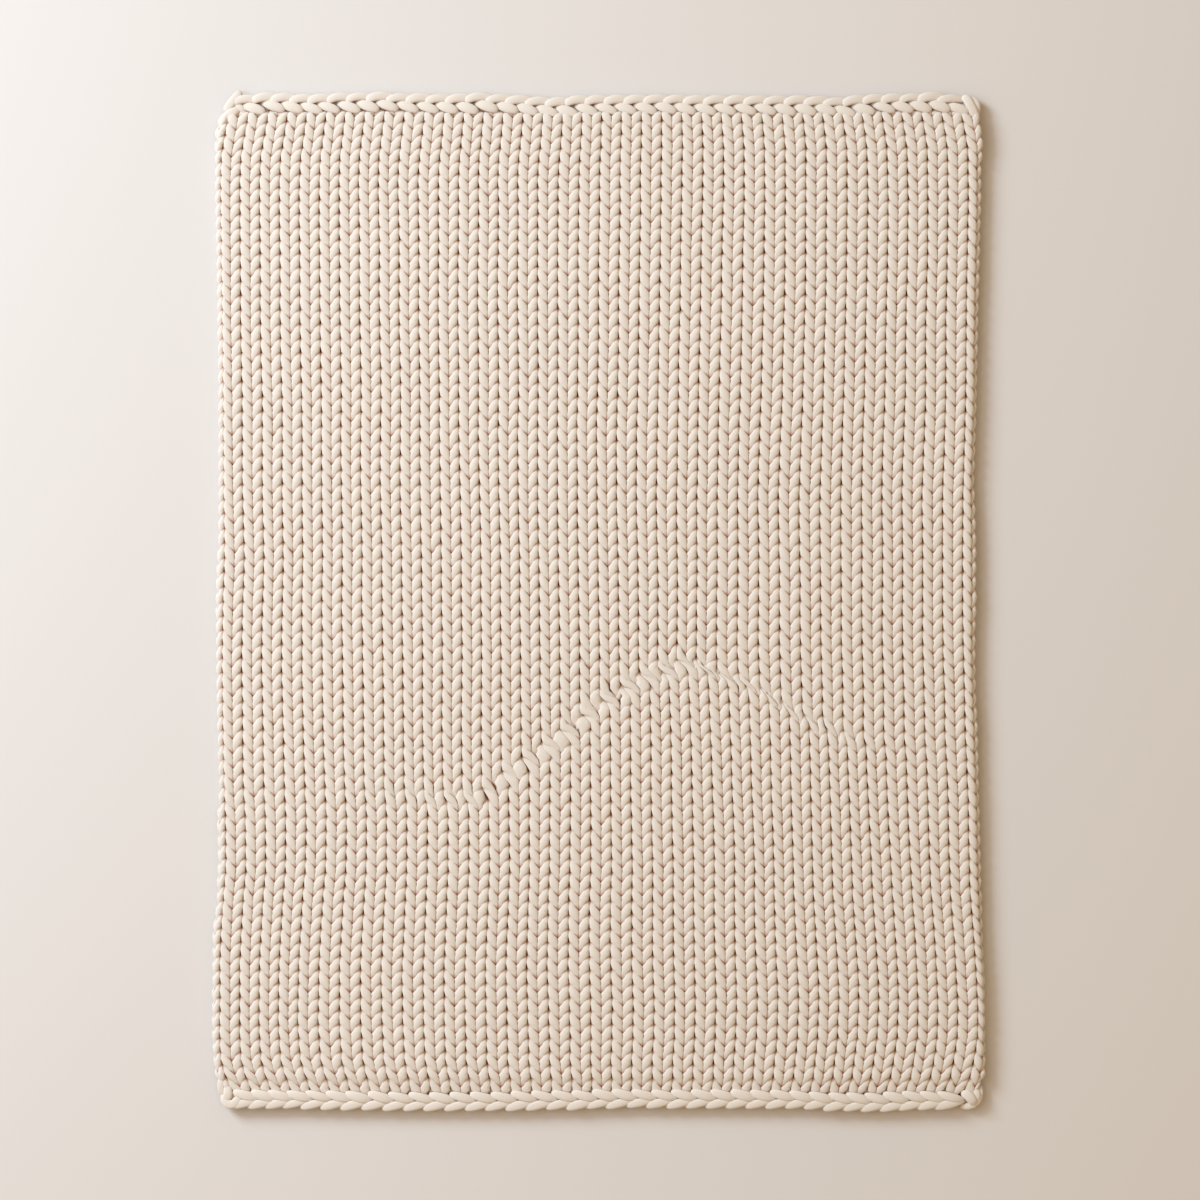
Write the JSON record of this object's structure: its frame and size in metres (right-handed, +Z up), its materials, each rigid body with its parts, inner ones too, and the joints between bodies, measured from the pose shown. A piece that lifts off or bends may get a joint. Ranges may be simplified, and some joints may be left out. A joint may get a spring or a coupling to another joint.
{
  "type": "chunky knit blanket",
  "caption": "Large flat blanket hand-knit in stocking stitch from very thick cream yarn, with chained ends and gently curling sides.",
  "frame": {"origin": "on the surface that the blanket lies on, under the middle of its box", "axes": "+Y along the wales towards the cast-off chain edge, +X across the wales, +Z up, the way the right side of the knitting faces"},
  "size_m": [1.544, 2.0358, 0.033],
  "materials": {
    "yarn": "soft matt cream yarn about 20 mm thick, with fine lines along each strand"
  },
  "bodies": {
    "root": {"knit_blanket": "yarn"}
  },
  "joints": []
}
